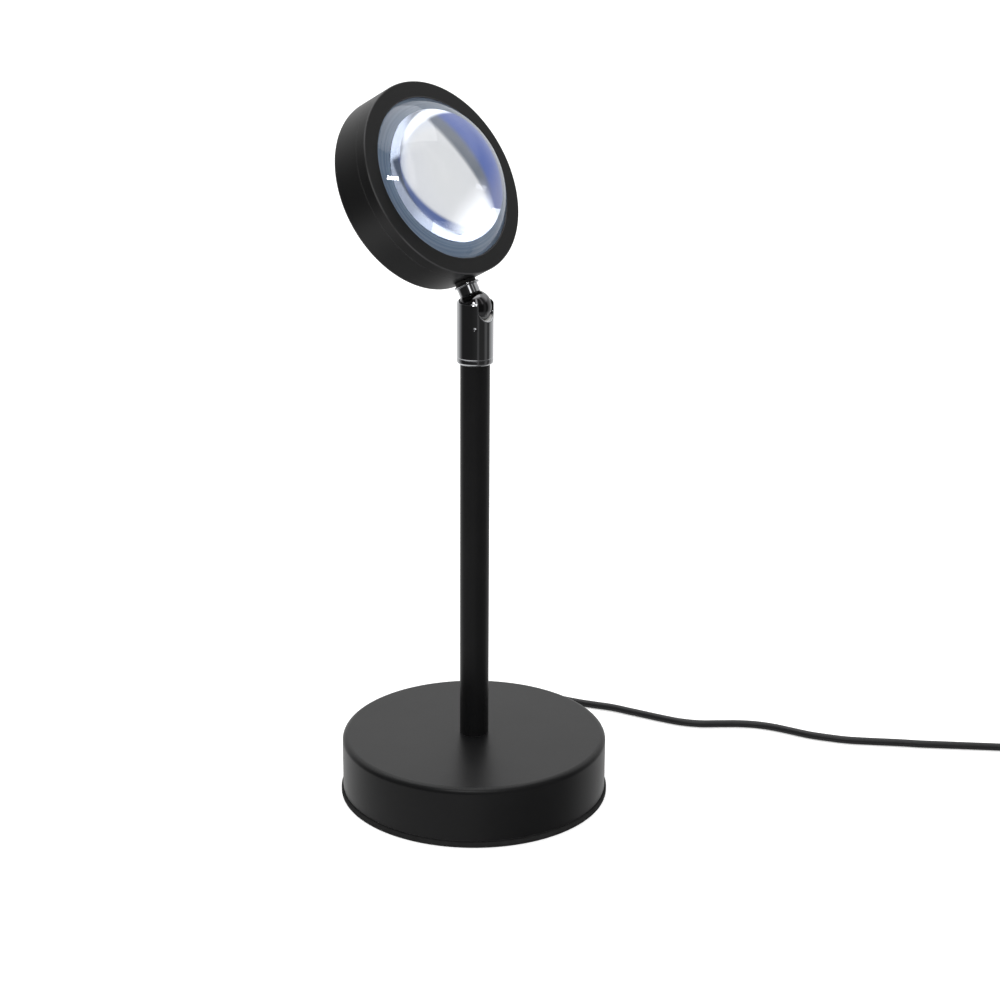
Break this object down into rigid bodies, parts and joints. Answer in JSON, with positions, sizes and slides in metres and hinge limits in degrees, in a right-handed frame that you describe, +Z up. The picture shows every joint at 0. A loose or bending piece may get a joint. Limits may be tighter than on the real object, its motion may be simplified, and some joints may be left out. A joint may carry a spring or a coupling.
{
  "type": "sunset projection lamp",
  "caption": "Desk projection lamp: weighted round base, straight stem, slotted ball knuckle and a drum head with a domed glass lens, on a supply cord with a plug.",
  "frame": {"origin": "centre of the round base on the table, under the stem's axis", "axes": "+Z up along the stem, -Y is the way the lens faces, leaning back; the cord leaves halfway between +X and +Y"},
  "size_m": [0.2775, 0.2935, 0.2696],
  "materials": {
    "black_steel": "satin black powder coat on pressed steel",
    "black_aluminium": "satin black coat on turned aluminium",
    "plated_steel": "zinc plated",
    "iron": "as cast",
    "brass": "turned",
    "chrome": "polished chrome plate",
    "foam": "closed-cell foam, matt",
    "black_rubber": "soft moulded, matt",
    "pale_silicone": "matt moulded silicone",
    "cord_sheath": "satin black PVC sheath",
    "red_wire": "insulated wire",
    "lens_glass": "clear polished glass",
    "filter_glass": "dichroic coated glass",
    "white_plastic": "moulded",
    "led_core": "white solder mask on aluminium",
    "phosphor": "yellow phosphor under silicone",
    "bare_aluminium": "milled",
    "green_board": "green solder mask",
    "dark_plastic": "smoked moulding",
    "strap": "black hook-and-loop strap"
  },
  "bodies": {
    "base": {"foot_pad": "foam", "bottom_plate": "plated_steel", "plate_screws": "plated_steel", "base_cover": "black_steel", "ballast": "iron", "base_nipple": "brass", "base_washer": "plated_steel", "base_nut": "plated_steel", "cord_bush": "black_rubber", "base_lead": "cord_sheath", "stem_tube": "black_steel", "stem_wires": "red_wire", "core_bush": "brass", "cord_run": "cord_sheath", "cord_coil": "cord_sheath", "cord_tail": "cord_sheath", "coil_tie": "strap", "usb_grip": "cord_sheath", "usb_shell": "plated_steel", "usb_tongue": "white_plastic", "usb_contacts": "brass"},
    "swivel": {"knuckle_sleeve": "chrome", "wave_washer": "plated_steel", "ball_seat": "white_plastic"},
    "head": {"ball_neck": "chrome", "neck_washer": "chrome", "neck_pad": "black_rubber", "neck_nut": "brass", "rear_housing": "black_aluminium", "front_bezel": "black_aluminium", "lens": "lens_glass", "lens_gasket": "pale_silicone", "filter_disc": "filter_glass", "retaining_ring": "black_aluminium", "reflector": "white_plastic", "led_board": "led_core", "led_emitter": "phosphor", "heat_sink": "bare_aluminium", "led_screws": "plated_steel", "driver_board": "green_board", "driver_screws": "plated_steel", "ir_receiver": "dark_plastic", "head_wires": "red_wire"}
  },
  "joints": [
    {"name": "knuckle_swivel", "type": "hinge", "parent": "base", "child": "swivel", "pos_m": [0, 0, 0.18], "axis": [0, 0, 1], "range_deg": [-175, 175]},
    {"name": "head_tilt", "type": "hinge", "parent": "swivel", "child": "head", "pos_m": [0, 0, 0.192], "axis": [1, 0, 0], "range_deg": [0, 119]}
  ]
}
